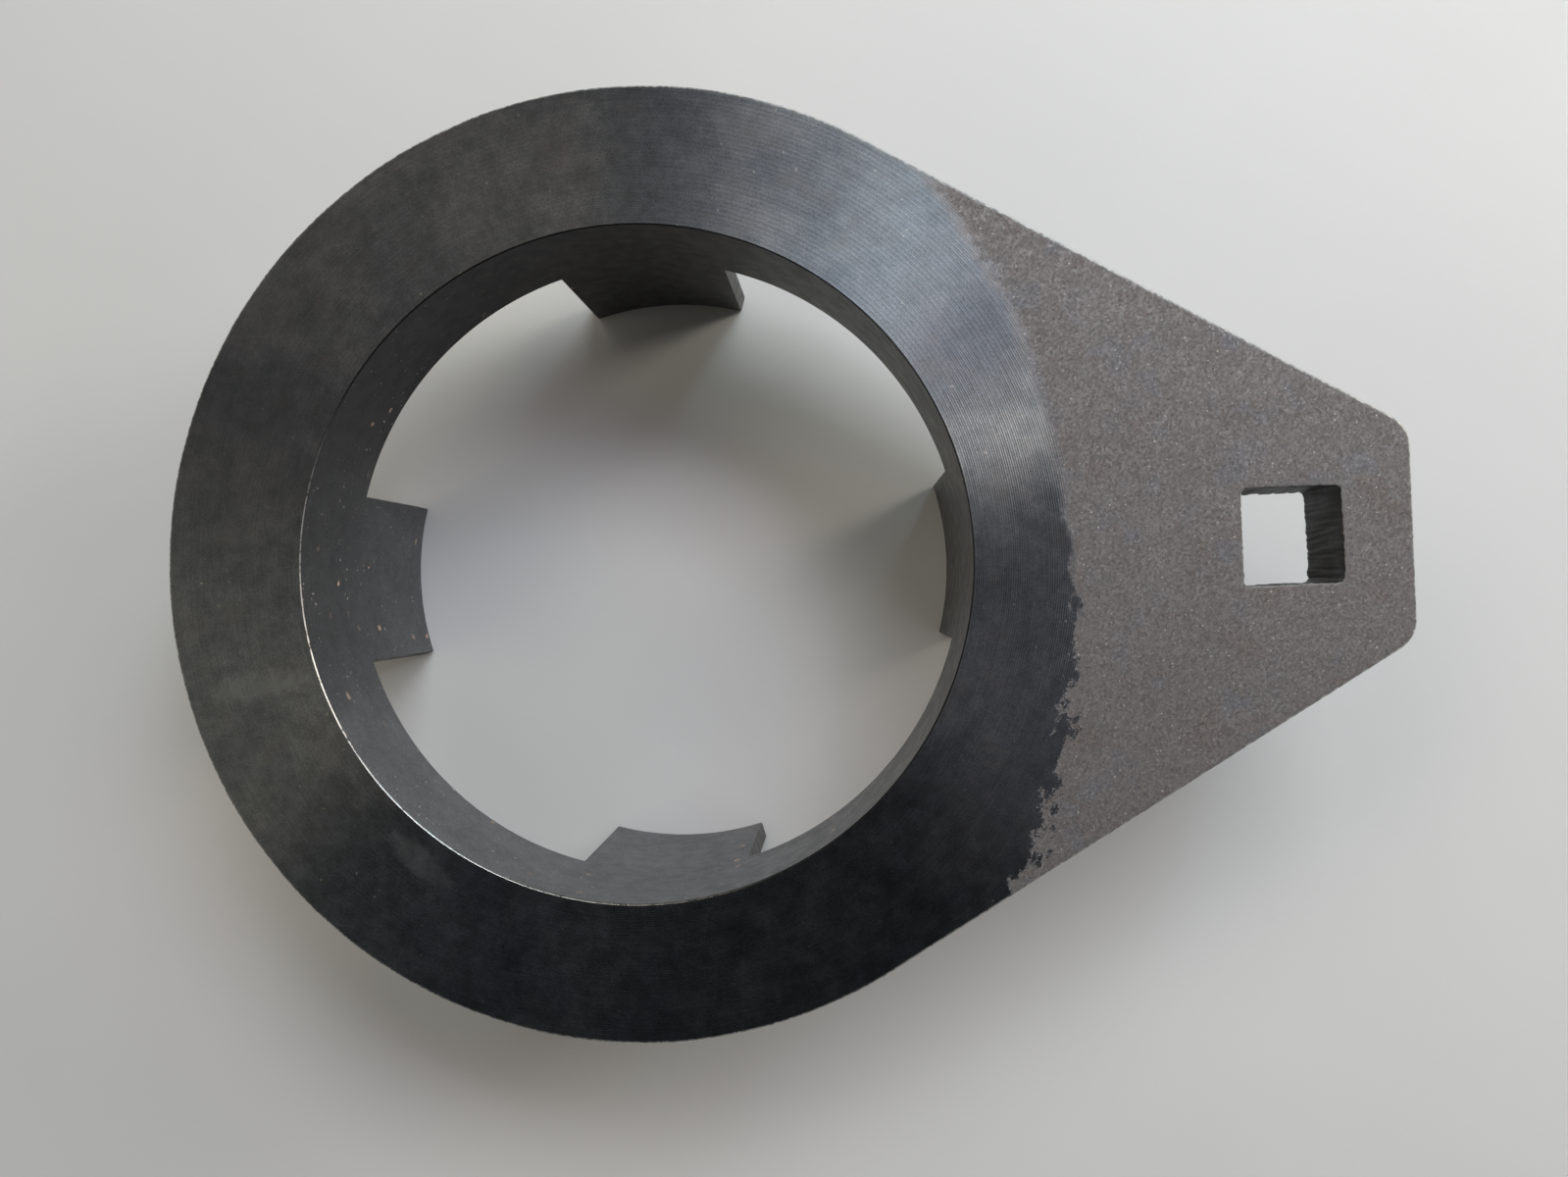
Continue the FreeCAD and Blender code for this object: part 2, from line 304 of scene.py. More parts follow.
def make_plate(materials):
    """The plate: flat faces, cut walls, and the hidden seat of the sleeve and face weld."""
    bm = start_mesh()
    on_top, below, on_wall, on_edge, in_hole = range(5)
    outer = build_cut_wall(
        bm, plate_outline(OUTLINE_STEP), 1, wall_rows(OUTLINE_EDGE_RADIUS), OUTLINE_RELIEF, 3,
        (on_wall, on_edge))
    drive = build_cut_wall(
        bm, drive_outline(HOLE_STEP), -1, wall_rows(HOLE_EDGE_RADIUS), HOLE_RELIEF, 41,
        (in_hole, in_hole))
    seat_top = make_ring(bm, GROOVE_RADIUS, TOP)
    seat_root = make_ring(bm, SLEEVE_RADIUS, WELD_LOW.z)
    seat_foot = make_ring(bm, SLEEVE_RADIUS, UNDERSIDE)
    bridge(bm, seat_top, seat_root, below)
    bridge(bm, seat_root, seat_foot, below)
    top_outer = build_margin(bm, outer[0], 1, FACE_MARGIN, on_top)
    top_drive = build_margin(bm, drive[0], -1, FACE_MARGIN, on_top)
    fill_flat(bm, top_outer, [seat_top, top_drive], on_top)
    low_outer = build_margin(bm, outer[1], 1, FACE_MARGIN, below)
    low_drive = build_margin(bm, drive[1], -1, FACE_MARGIN, below)
    fill_flat(bm, low_outer, [seat_foot, low_drive], below)
    return finish_piece(bm, "plate_body", materials, "lever_plate")


# The sleeve and its lugs

def inside_lug(angle):
    """Whether an angle lies within one of the lugs."""
    from_lug = (angle + LUG_PITCH / 2) % LUG_PITCH - LUG_PITCH / 2
    return abs(from_lug) < LUG_HALF_ANGLE + 1e-6


def make_sleeve(faced, bored, outside, rubbed_and_highlight):
    """The sleeve: one manifold shell with chamfered lug tips and worn edges."""
    bm = start_mesh()
    weight = bm.edges.layers.float.new("bevel_weight_edge")
    on_rim, in_bore, around, on_edge = 0, 1, 2, 3
    count = RING_COUNT
    cells = [inside_lug(angle + math.radians(0.25)) for angle in RING_ANGLES]
    columns = [inside_lug(angle) for angle in RING_ANGLES]

    lug_heights = [TIP_CHAMFER] + [height * MM for height in (4, 8, 12, 16, 20)]
    collar_heights = [height * MM for height in (29, 33, 37)]
    ring_heights = [COLLAR_BOTTOM] + collar_heights + [TOP - MOUTH_CHAMFER]

    def make_column(radius, height, wanted):
        points = []
        for angle, keep in zip(RING_ANGLES, wanted):
            place = (radius * math.cos(angle), radius * math.sin(angle), height)
            points.append(bm.verts.new(place) if keep else None)
        return points

    everywhere = [True] * count
    inner_tip = make_column(BORE_RADIUS + TIP_CHAMFER, 0, columns)
    outer_tip = make_column(SLEEVE_RADIUS - TIP_CHAMFER, 0, columns)
    inner = [inner_tip] + [make_column(BORE_RADIUS, height, columns) for height in lug_heights]
    outer = [outer_tip] + [make_column(SLEEVE_RADIUS, height, columns) for height in lug_heights]
    inner += [make_column(BORE_RADIUS, height, everywhere) for height in ring_heights]
    outer += [make_column(SLEEVE_RADIUS, height, everywhere) for height in ring_heights]
    mouth = make_column(BORE_RADIUS + MOUTH_CHAMFER, TOP, everywhere)
    rim = make_column(SLEEVE_RADIUS, TOP, everywhere)
    collar = len(lug_heights) + 1

    def cell(first, second, index, material):
        following = (index + 1) % count
        corners = (first[index], first[following], second[following], second[index])
        bm.faces.new(corners).material_index = material

    for index in range(count):
        for row in range(len(inner) - 1):
            if row >= collar or cells[index]:
                cell(inner[row], inner[row + 1], index, in_bore)
                cell(outer[row], outer[row + 1], index, around)
        cell(inner[-1], mouth, index, on_edge)
        cell(mouth, rim, index, on_rim)
        cell(outer[-1], rim, index, around)
        foot = 0 if cells[index] else collar
        cell(inner[foot], outer[foot], index, around)
        if cells[index] != cells[index - 1]:
            for row in range(collar):
                corners = (inner[row][index], outer[row][index],
                           outer[row + 1][index], inner[row + 1][index])
                bm.faces.new(corners).material_index = around

    bm.edges.ensure_lookup_table()
    for edge in bm.edges:
        low = max(vert.co.z for vert in edge.verts) < TOP - 0.01 * MM
        if low and edge.is_manifold and edge.calc_face_angle() > math.radians(25):
            edge[weight] = 1.0
    for index in range(count):
        for loop in (mouth, inner[-1]):
            edge = bm.edges.get((loop[index], loop[(index + 1) % count]))
            edge[weight] = 0.4
    piece = finish_piece(
        bm, "sleeve_with_lugs", [faced, bored, outside, rubbed_and_highlight], "lug_sleeve")
    bevel = piece.modifiers.new("worn_edges", "BEVEL")
    bevel.limit_method = "WEIGHT"
    bevel.width = 0.16 * MM
    bevel.segments = 2
    return piece


# The welds

def make_face_weld(faced, skin):
    """The weld in the plate's groove, turned flush with the face."""
    bm = start_mesh()
    inner = make_ring(bm, SLEEVE_RADIUS, TOP)
    outer = make_ring(bm, GROOVE_RADIUS, TOP)
    root = make_ring(bm, SLEEVE_RADIUS, WELD_LOW.z)
    bridge(bm, inner, outer, 0)
    bridge(bm, outer, root, 1)
    bridge(bm, root, inner, 1)
    return finish_piece(bm, "turned_groove_weld", [faced, skin], "face_weld")


RIPPLE_PITCH = 1.7 * MM
RIPPLE_HEIGHT = 0.17 * MM
BEAD_ROWS = 14


def bead_point(angle, share):
    """A point on the fillet weld's rippled surface, from the plate's toe to the sleeve's."""
    reach = BEAD_HIGH.x - SLEEVE_RADIUS
    leg = min(reach, UNDERSIDE - BEAD_LOW.z) * 0.96
    round_place = Vector((math.cos(angle), math.sin(angle), 0)) * 9
    plate_leg = leg * (0.93 + 0.07 * noise.noise(round_place))
    sleeve_leg = leg * (0.93 + 0.07 * noise.noise(round_place + Vector((0, 0, 5))))
    crown = 0.6 * MM * math.sin(math.pi * share)
    lag = 0.9 * RIPPLE_PITCH * math.sin(math.pi * share)
    uneven = 0.5 * noise.noise(round_place * 3)
    phase = (angle * SLEEVE_RADIUS + lag) / RIPPLE_PITCH + uneven
    ripple = (phase % 1.0) ** 2 - 0.4
    crown += RIPPLE_HEIGHT * ripple * math.sin(math.pi * share) ** 0.5
    outwards = plate_leg * (1 - share) + crown * math.sqrt(0.5)
    downwards = sleeve_leg * share + crown * math.sqrt(0.5)
    return SLEEVE_RADIUS + outwards, UNDERSIDE - downwards


def make_underside_bead(bead):
    """The fillet weld under the plate, laid in overlapping ripples."""
    bm = start_mesh()
    count = RING_COUNT * 2
    loops = []
    for row in range(BEAD_ROWS + 1):
        loop = []
        for step in range(count):
            angle = 2 * math.pi * step / count
            radius, height = bead_point(angle, row / BEAD_ROWS)
            place = (radius * math.cos(angle), radius * math.sin(angle), height)
            loop.append(bm.verts.new(place))
        if loops:
            bridge(bm, loops[-1], loop)
        loops.append(loop)
    corner = []
    for step in range(count):
        angle = 2 * math.pi * step / count
        place = (SLEEVE_RADIUS * math.cos(angle), SLEEVE_RADIUS * math.sin(angle), UNDERSIDE)
        corner.append(bm.verts.new(place))
    bridge(bm, loops[-1], corner)
    bridge(bm, corner, loops[0])
    return finish_piece(bm, "underside_bead", [bead], "underside_weld", 60)


# Material helpers

class Surface:
    """A material's nodes, with the position on the part in millimetres as their input."""

    def __init__(self, name):
        self.material = bpy.data.materials.new(name)
        self.material.use_nodes = True
        self.nodes = self.material.node_tree.nodes
        self.links = self.material.node_tree.links
        self.nodes.clear()
        place = self.add("ShaderNodeTexCoord").outputs["Object"]
        self.place = self.vector("SCALE", place, scale=1 / MM)
        split = self.add("ShaderNodeSeparateXYZ", {0: self.place}).outputs
        self.x, self.y, self.z = split[0], split[1], split[2]
        flat = self.add("ShaderNodeCombineXYZ", {0: self.x, 1: self.y}).outputs[0]
        self.radius = self.vector("LENGTH", flat)
        self.outwards = self.vector("NORMALIZE", flat)

    def add(self, kind, inputs=None, **settings):
        node = self.nodes.new(kind)
        for name, value in settings.items():
            setattr(node, name, value)
        for key, value in (inputs or {}).items():
            if isinstance(value, bpy.types.NodeSocket):
                self.links.new(value, node.inputs[key])
            else:
                node.inputs[key].default_value = value
        return node

    def math(self, operation, *values):
        node = self.add("ShaderNodeMath", dict(enumerate(values)), operation=operation)
        return node.outputs[0]

    def vector(self, operation, *values, scale=None):
        inputs = dict(enumerate(values))
        if scale is not None:
            inputs["Scale"] = scale
        node = self.add("ShaderNodeVectorMath", inputs, operation=operation)
        return node.outputs["Value" if operation in ("LENGTH", "DOT_PRODUCT") else "Vector"]

    def times(self, first, second):
        return self.math("MULTIPLY", first, second)

    def plus(self, first, second):
        return self.math("ADD", first, second)

    def noise(self, size, detail=3.0, roughness=0.55, place=None, seed=0.0):
        """Noise from 0 to 1 with features of a size in millimetres."""
        shifted = self.vector("ADD", place or self.place, (seed, seed * 0.7, seed * 1.3))
        inputs = {"Vector": shifted, "Scale": 1 / size, "Detail": detail, "Roughness": roughness}
        return self.add("ShaderNodeTexNoise", inputs).outputs["Fac"]

    def colour_noise(self, size, seed):
        """Three independent noises about zero, as a vector."""
        offset = self.vector("ADD", self.place, (seed * 3.7, seed * 1.9, seed * 5.3))
        node = self.add("ShaderNodeTexNoise", {"Vector": offset, "Scale": 1 / size, "Detail": 2.0})
        return self.vector("SUBTRACT", node.outputs["Color"], (0.5, 0.5, 0.5))

    def cells(self, size, place=None, seed=0.0):
        """Voronoi cells: the distance from a cell's middle, and the cell's random colour."""
        shifted = self.vector("ADD", place or self.place, (seed, seed * 0.7, seed * 1.3))
        node = self.add("ShaderNodeTexVoronoi", {"Vector": shifted, "Scale": 1 / size})
        return node.outputs["Distance"], node.outputs["Color"]

    def ease(self, value, low, high, to_low=0.0, to_high=1.0):
        """Map a value smoothly from one range to another, held at its ends."""
        inputs = {"Value": value, "From Min": low, "From Max": high,
                  "To Min": to_low, "To Max": to_high}
        node = self.add("ShaderNodeMapRange", inputs, interpolation_type="SMOOTHSTEP")
        return node.outputs["Result"]

    def blend(self, share, first, second, blend_type="MIX"):
        """Mix two colours."""
        first = first if isinstance(first, bpy.types.NodeSocket) else (*first, 1.0)
        second = second if isinstance(second, bpy.types.NodeSocket) else (*second, 1.0)
        inputs = {0: share, 6: first, 7: second}
        node = self.add("ShaderNodeMix", inputs, data_type="RGBA", blend_type=blend_type)
        return node.outputs[2]

    def tint(self, colour, tone):
        """Multiply a colour by a number."""
        grey = self.add("ShaderNodeCombineXYZ", {0: tone, 1: tone, 2: tone}).outputs[0]
        return self.blend(1.0, colour, grey, "MULTIPLY")

    def between(self, share, first, second):
        """Mix two numbers."""
        node = self.add("ShaderNodeMix", {0: share, 2: first, 3: second}, data_type="FLOAT")
        return node.outputs[0]

    def bump(self, height, normal=None):
        """Tilt the normal by a height in millimetres."""
        inputs = {"Height": height, "Distance": MM, "Strength": 1.0}
        if normal is not None:
            inputs["Normal"] = normal
        return self.add("ShaderNodeBump", inputs).outputs["Normal"]

    def around(self, radial_size, round_size):
        """A place for streaks that follow a circle about the bore, with no seam."""
        across = self.math("DIVIDE", self.radius, radial_size)
        along = self.vector("SCALE", self.outwards, scale=55 / round_size)
        split = self.add("ShaderNodeSeparateXYZ", {0: along}).outputs
        height = self.math("DIVIDE", self.z, radial_size)
        lifted = self.plus(across, self.times(height, 1.7))
        return self.add("ShaderNodeCombineXYZ", {0: split[0], 1: split[1], 2: lifted}).outputs[0]

    def finish(self, inputs):
        shader = self.add("ShaderNodeBsdfPrincipled", inputs)
        output = self.add("ShaderNodeOutputMaterial", {0: shader.outputs[0]})
        output.is_active_output = True
        return self.material


# Materials (their lengths are in millimetres)

TURNING_FEED = 0.295
GROOVE_TILT_LOW = -0.06
GROOVE_TILT_HIGH = 0.60
TURNED_EDGE_CENTRE = (-26.2, -1.2)
TURNED_EDGE_RADIUS = 84.1
TURNED_EDGE_SPREAD = 0.06


def skin_colour(surface):
    """Rolled skin, blackened: warm grey with brownish and bluish patches and pale specks as
    painted glints.
    """
    base = surface.blend(
        surface.noise(12, 3, 0.6), (0.143, 0.131, 0.128), (0.164, 0.152, 0.150))
    browner = surface.ease(surface.noise(6, 4, 0.6, seed=31), 0.48, 0.70, 0.0, 0.6)
    base = surface.blend(browner, base, (0.143, 0.118, 0.107))
    bluer = surface.ease(surface.noise(5, 4, 0.6, seed=57), 0.52, 0.72, 0.0, 0.6)
    base = surface.blend(bluer, base, (0.139, 0.143, 0.160))
    grains = surface.ease(surface.noise(0.32, 3, 0.7, seed=11), 0.3, 0.7, 0.84, 1.16)
    fine = surface.ease(surface.noise(0.12, 2, 0.7, seed=3), 0.3, 0.7, 0.78, 1.22)
    base = surface.tint(base, surface.times(grains, fine))
    # Pale specks stand in for glints: painted glints, the same under any light.
    painted_glints = speck_mask(surface, 0.40, 0.16, 23)
    return surface.blend(painted_glints, base, (0.60, 0.57, 0.53))


def skin_height(surface):
    """The pebbled relief of the rolled skin, in millimetres."""
    pebbles = surface.times(surface.noise(0.22, 3, 0.65, seed=5), 0.008)
    swell = surface.times(surface.noise(3.2, 2, 0.5, seed=8), 0.05)
    return surface.plus(pebbles, swell)


def speck_mask(surface, size, share, seed):
    """Sparse ragged specks: in a share of the cells of one size, a spot of any size."""
    wobble = surface.vector("SCALE", surface.colour_noise(size * 0.35, seed), scale=0.5 * size)
    distance, colour = surface.cells(
        size, place=surface.vector("ADD", surface.place, wobble), seed=seed)
    split = surface.add("ShaderNodeSeparateColor", {0: colour})
    chosen = surface.math("GREATER_THAN", split.outputs[1], 1 - share)
    reach = surface.math("MULTIPLY_ADD", split.outputs[0], 0.26, 0.06)
    spot = surface.math("SMOOTH_MIN", surface.math("DIVIDE", distance, reach), 2.0, 0.1)
    bright = surface.math("MULTIPLY_ADD", split.outputs[2], 0.6, 0.4)
    return surface.times(
        surface.times(chosen, bright), surface.ease(spot, 0.6, 1.1, 1.0, 0.0))


def glint_normal(surface, size, spread):
    """Small facets with random tilts, which catch the light one by one."""
    colour = surface.cells(size, seed=23)[1]
    tilt = surface.vector("SUBTRACT", colour, (0.5, 0.5, 0.5))
    tilt = surface.vector("SCALE", tilt, scale=spread)
    normal = surface.add("ShaderNodeNewGeometry").outputs["Normal"]
    return surface.vector("NORMALIZE", surface.vector("ADD", normal, tilt))


def random_direction(surface, size):
    """A level direction that changes from grain to grain."""
    colour = surface.cells(size, seed=29)[1]
    tilt = surface.vector("SUBTRACT", colour, (0.5, 0.5, 0.5))
    return surface.vector("NORMALIZE", surface.vector("MULTIPLY", tilt, (1.0, 1.0, 0.0)))


def make_skin_material():
    """The rolled skin of the underside."""
    surface = Surface("mill_skin")
    normal = glint_normal(surface, 0.3, 0.22)
    return surface.finish({
        "Base Color": skin_colour(surface),
        "Metallic": 0.35,
        "Roughness": surface.ease(surface.noise(1.3, 3), 0.3, 0.7, 0.46, 0.66),
        "Normal": surface.bump(skin_height(surface), normal),
    })


def turned_mask(surface):
    """1 where the lathe reached, 0 on the rolled skin, with a ragged border."""
    away = surface.vector("SUBTRACT", surface.place, (*TURNED_EDGE_CENTRE, 0))
    split = surface.add("ShaderNodeSeparateXYZ", {0: away}).outputs
    flat = surface.add("ShaderNodeCombineXYZ", {0: split[0], 1: split[1]}).outputs[0]
    reach = surface.math("MULTIPLY_ADD", surface.math("MINIMUM", surface.y, 5.0),
                         -TURNED_EDGE_SPREAD, TURNED_EDGE_RADIUS)
    beyond = surface.math("SUBTRACT", surface.vector("LENGTH", flat), reach)
    tongues = surface.noise(1, 5, 0.65, place=surface.around(2.4, 4.2), seed=2)
    tongues = surface.times(surface.math("SUBTRACT", tongues, 0.5), 12.0)
    specks = surface.noise(0.9, 4, 0.75, seed=71)
    specks = surface.times(surface.math("SUBTRACT", specks, 0.5), 5.5)
    lower = surface.ease(surface.y, -25, 5, 1.0, 0.25)
    ragged = surface.times(surface.plus(tongues, specks), lower)
    softness = surface.ease(surface.y, -20, 15, 0.40, 1.5)
    edge = surface.math("DIVIDE", surface.plus(beyond, ragged), softness)
    return surface.ease(edge, -1.0, 1.0, 1.0, 0.0)


def groove_normal(surface):
    """The normal of round-bottomed grooves left by a turning tool."""
    wander = surface.times(surface.noise(14, 2, 0.5, seed=15), 0.25)
    turns = surface.math("DIVIDE", surface.plus(surface.radius, wander), TURNING_FEED)
    saw = surface.math("FRACT", turns)
    slope = surface.math("MULTIPLY_ADD", saw, GROOVE_TILT_HIGH - GROOVE_TILT_LOW, GROOVE_TILT_LOW)
    tilt = surface.vector("SCALE", surface.outwards, scale=slope)
    return surface.vector("NORMALIZE", surface.vector("ADD", tilt, (0, 0, 1)))


# Headings of the turned face's painted light, set where its tones differ. One photograph
# can't tell a finish from a reflection, so these differences are painted on, and stay put
# when the light changes.
HIGHLIGHT_SIDE = (0.707, 0.707, 0)    # painted sheen: the side where the highlight falls
BLUE_REFLECTION_SIDE = (0, -1.0, 0)          # painted reflection of bluish light: a bluish, darker tone

# Pale handling smears on the turned face: middle, heading in degrees, half length and
# half width in millimetres, and strength.
SMEARS = (
    ((-51.5, -14.5), 6, 7.5, 2.4, 0.16),
    ((-30.5, -38.5), -40, 6.0, 2.0, 0.34),
)


def smear_mask(surface, middle, heading, length, width, strength):
    """A ragged oval patch."""
    away = surface.vector("SUBTRACT", surface.place, (*middle, TOP / MM))
    turn = math.radians(heading)
    along = surface.vector(
        "DOT_PRODUCT", away, (math.cos(turn) / length, math.sin(turn) / length, 0))
    across = surface.vector(
        "DOT_PRODUCT", away, (-math.sin(turn) / width, math.cos(turn) / width, 0))
    square = surface.plus(surface.times(along, along), surface.times(across, across))
    ragged = surface.times(surface.math("SUBTRACT", surface.noise(2, 5, 0.7, seed=87), 0.5), 3.0)
    return surface.ease(surface.plus(square, ragged), 0.0, 1.3, strength, 0.0)


def turned_colour(surface):
    """Blackened turned steel, cloudy smudges, pale handling marks, painted sheen and reflection.
    """
    cloud = surface.noise(13, 5, 0.62, seed=44)
    base = surface.blend(
        surface.ease(cloud, 0.35, 0.65), (0.080, 0.086, 0.096), (0.112, 0.115, 0.123))
    # Painted sheen: towards the highlight the turning lines are painted stronger and the mottle
    # weaker.
    bright = surface.ease(
        surface.vector("DOT_PRODUCT", surface.outwards, HIGHLIGHT_SIDE), 0.72, 0.96)
    mottle = surface.ease(surface.noise(2.2, 6, 0.7, seed=37), 0.3, 0.7, -0.17, 0.18)
    mottle = surface.math("MULTIPLY_ADD", mottle, surface.between(bright, 1.0, 0.4), 1.0)
    streak = surface.noise(1, 3, 0.6, place=surface.around(0.5, 9), seed=9)
    streak = surface.ease(streak, 0.3, 0.7, 0.93, 1.07)
    grain = surface.ease(surface.noise(0.22, 2, 0.6, seed=19), 0.3, 0.7, 0.82, 1.18)
    # Turning lines painted as light and dark rings: painted shading of the grooves, strongest at
    # the highlight.
    turns = surface.math("DIVIDE", surface.radius, 2 * TURNING_FEED / (2 * math.pi))
    painted_ring_sheen = surface.math(
        "MULTIPLY_ADD", surface.math("SINE", turns), surface.between(bright, 0.03, 0.11), 1.0)
    base = surface.tint(
        base, surface.times(surface.times(surface.times(streak, painted_ring_sheen), grain), mottle))
    rusty = surface.ease(surface.noise(6, 5, 0.65, seed=64), 0.50, 0.72, 0.0, 0.35)
    base = surface.blend(rusty, base, (0.108, 0.099, 0.093))
    # Painted reflection: towards -Y the face is tinted bluish and slightly darker, for bluish
    # light.
    blue_reflection = surface.ease(
        surface.vector("DOT_PRODUCT", surface.outwards, BLUE_REFLECTION_SIDE), 0.55, 0.85, 0.0, 0.8)
    base = surface.blend(blue_reflection, base, (0.89, 0.95, 1.02), "MULTIPLY")
    smudge = surface.ease(surface.noise(7, 6, 0.7, seed=63), 0.58, 0.80, 0.0, 0.30)
    base = surface.blend(smudge, base, (0.17, 0.17, 0.18))
    for smear in SMEARS:
        base = surface.blend(smear_mask(surface, *smear), base, (0.34, 0.35, 0.37))
    dust = surface.times(speck_mask(surface, 0.8, 0.03, 71), 0.7)
    return surface.blend(dust, base, (0.34, 0.31, 0.28))


def make_faced_material():
    """The turned top face, which runs out into rolled skin along the arm."""
    surface = Surface("faced_steel")
    turned = turned_mask(surface)
    colour = surface.blend(turned, skin_colour(surface), turned_colour(surface))
    rough_skin = surface.ease(surface.noise(1.3, 3), 0.3, 0.7, 0.46, 0.66)
    rough_turned = surface.ease(surface.noise(3.0, 4), 0.3, 0.7, 0.36, 0.43)
    skin_normal = surface.bump(skin_height(surface), glint_normal(surface, 0.3, 0.22))
    turned_normal = surface.bump(
        surface.times(surface.noise(0.4, 3, 0.6, seed=27), 0.006), groove_normal(surface))
    normal = surface.add("ShaderNodeMix", {0: turned, 4: skin_normal, 5: turned_normal},
                         data_type="VECTOR").outputs[1]
    normal = surface.vector("NORMALIZE", normal)
    direction = surface.add(
        "ShaderNodeMix", {0: turned, 4: random_direction(surface, 0.2), 5: surface.outwards},
        data_type="VECTOR").outputs[1]
    return surface.finish({
        "Base Color": colour,
        "Metallic": surface.between(turned, 0.35, 1.0),
        "Roughness": surface.between(turned, rough_skin, rough_turned),
        "Anisotropic": 0.6,
        "Tangent": direction,
        "Normal": surface.bump(surface.times(turned, 0.03), normal),
    })


# Headings of the bore's tones: painted shade, a painted highlight, and where dust lies.
SHADED_BORE_SIDE = (-0.423, 0.906, 0)    # painted shade: the side where the bore is painted darkest
MOUTH_SIDE = (-0.990, 0.139, 0)    # painted shade: darker only towards the mouth
TIP_SIDE = (1.0, 0.0, 0)           # painted shade: darker towards the lug's tip
MOUTH_HIGHLIGHT_SIDE = (-0.755, -0.656, 0)  # painted highlight: the one side where the edge shows bare steel
DUSTY_SIDE = (-0.870, -0.500, 0)   # the side where most specks of dust lie


def make_bored_material():
    """The bored wall: dark blackened steel with fine turning lines, dust specks and painted shade.
    """
    surface = Surface("bored_steel")
    cloud = surface.ease(surface.noise(11, 4, 0.6, seed=12), 0.35, 0.65)
    base = surface.blend(cloud, (0.072, 0.074, 0.078), (0.096, 0.098, 0.102))
    # Painted shade: on one side the wall is painted down to a fifth of its tone.
    painted_shade = surface.ease(
        surface.vector("DOT_PRODUCT", surface.outwards, SHADED_BORE_SIDE), 0.60, 0.95, 1.0, 0.20)
    # Painted shade: on one side the wall is painted darker towards the mouth.
    near_mouth = surface.times(
        surface.ease(surface.vector("DOT_PRODUCT", surface.outwards, MOUTH_SIDE), 0.75, 0.98),
        surface.ease(surface.z, -6, 36))
    painted_shade = surface.times(painted_shade, surface.between(near_mouth, 1.0, 0.37))
    # Painted shade: on the lug at +X the wall is painted darker towards the tip.
    near_tip = surface.times(
        surface.ease(surface.vector("DOT_PRODUCT", surface.outwards, TIP_SIDE), 0.90, 0.96),
        surface.ease(surface.z, 5, 45, 1.0, 0.0))
    base = surface.tint(base, surface.times(painted_shade, surface.between(near_tip, 1.0, 0.45)))
    grain = surface.ease(surface.noise(0.4, 3, 0.65, seed=21), 0.3, 0.7, 0.75, 1.3)
    base = surface.tint(base, grain)
    settled = surface.times(
        surface.ease(surface.noise(6, 2, 0.5, seed=73), 0.42, 0.58, 0.15, 1.0),
        surface.ease(surface.vector("DOT_PRODUCT", surface.outwards, DUSTY_SIDE), -0.7, 0.6))
    fine_dust = surface.times(speck_mask(surface, 0.48, 0.14, 5), settled)
    base = surface.blend(fine_dust, base, (0.40, 0.40, 0.40))
    dust = surface.times(speck_mask(surface, 0.70, 0.15, 3), settled)
    base = surface.blend(dust, base, (0.50, 0.46, 0.42))
    crumbs = surface.times(speck_mask(surface, 2.3, 0.16, 7), settled)
    base = surface.blend(crumbs, base, (0.72, 0.50, 0.36))
    lines = surface.noise(1, 3, 0.6, place=surface.around(0.22, 30), seed=4)
    height = surface.plus(
        surface.times(lines, 0.007), surface.times(surface.noise(0.5, 3, 0.6), 0.006))
    return surface.finish({
        "Base Color": base,
        "Metallic": 0.0,
        "IOR": 1.35,
        "Roughness": surface.ease(surface.noise(2.5, 4), 0.3, 0.7, 0.32, 0.44),
        "Normal": surface.bump(height),
    })


def make_rubbed_and_highlight_material():
    """The broken edge round the bore's mouth: worn bare steel in patches, kept to one side as a
    painted highlight.
    """
    surface = Surface("rubbed_edge_and_highlight")
    patch = surface.ease(surface.noise(1.8, 5, 0.75, seed=91), 0.34, 0.50)
    # Painted highlight: only on this side does the edge get its pale bare colour.
    side = surface.ease(
        surface.vector("DOT_PRODUCT", surface.outwards, MOUTH_HIGHLIGHT_SIDE), 0.25, 0.92)
    base = surface.blend(
        surface.times(patch, side), (0.025, 0.025, 0.026), (0.42, 0.41, 0.39))
    return surface.finish({
        "Base Color": base,
        "Metallic": 1.0,
        "Roughness": surface.ease(surface.noise(0.7, 3, seed=92), 0.3, 0.7, 0.26, 0.40),
        "Normal": surface.bump(surface.times(surface.noise(0.3, 3, 0.6, seed=93), 0.008)),
    })


def make_edge_material():
    """The plate's rounded edge: scale worn thin, with fine pale nicks."""
    surface = Surface("plate_edge")
    nick = surface.ease(surface.noise(0.55, 4, 0.75, seed=95), 0.42, 0.62)
    base = surface.blend(nick, (0.13, 0.13, 0.13), (0.40, 0.41, 0.39))
    return surface.finish({
        "Base Color": base,
        "Metallic": 0.5,
        "Roughness": surface.ease(surface.noise(0.7, 3, seed=96), 0.3, 0.7, 0.34, 0.48),
        "Normal": surface.bump(surface.times(surface.noise(0.3, 3, 0.6, seed=97), 0.008)),
    })


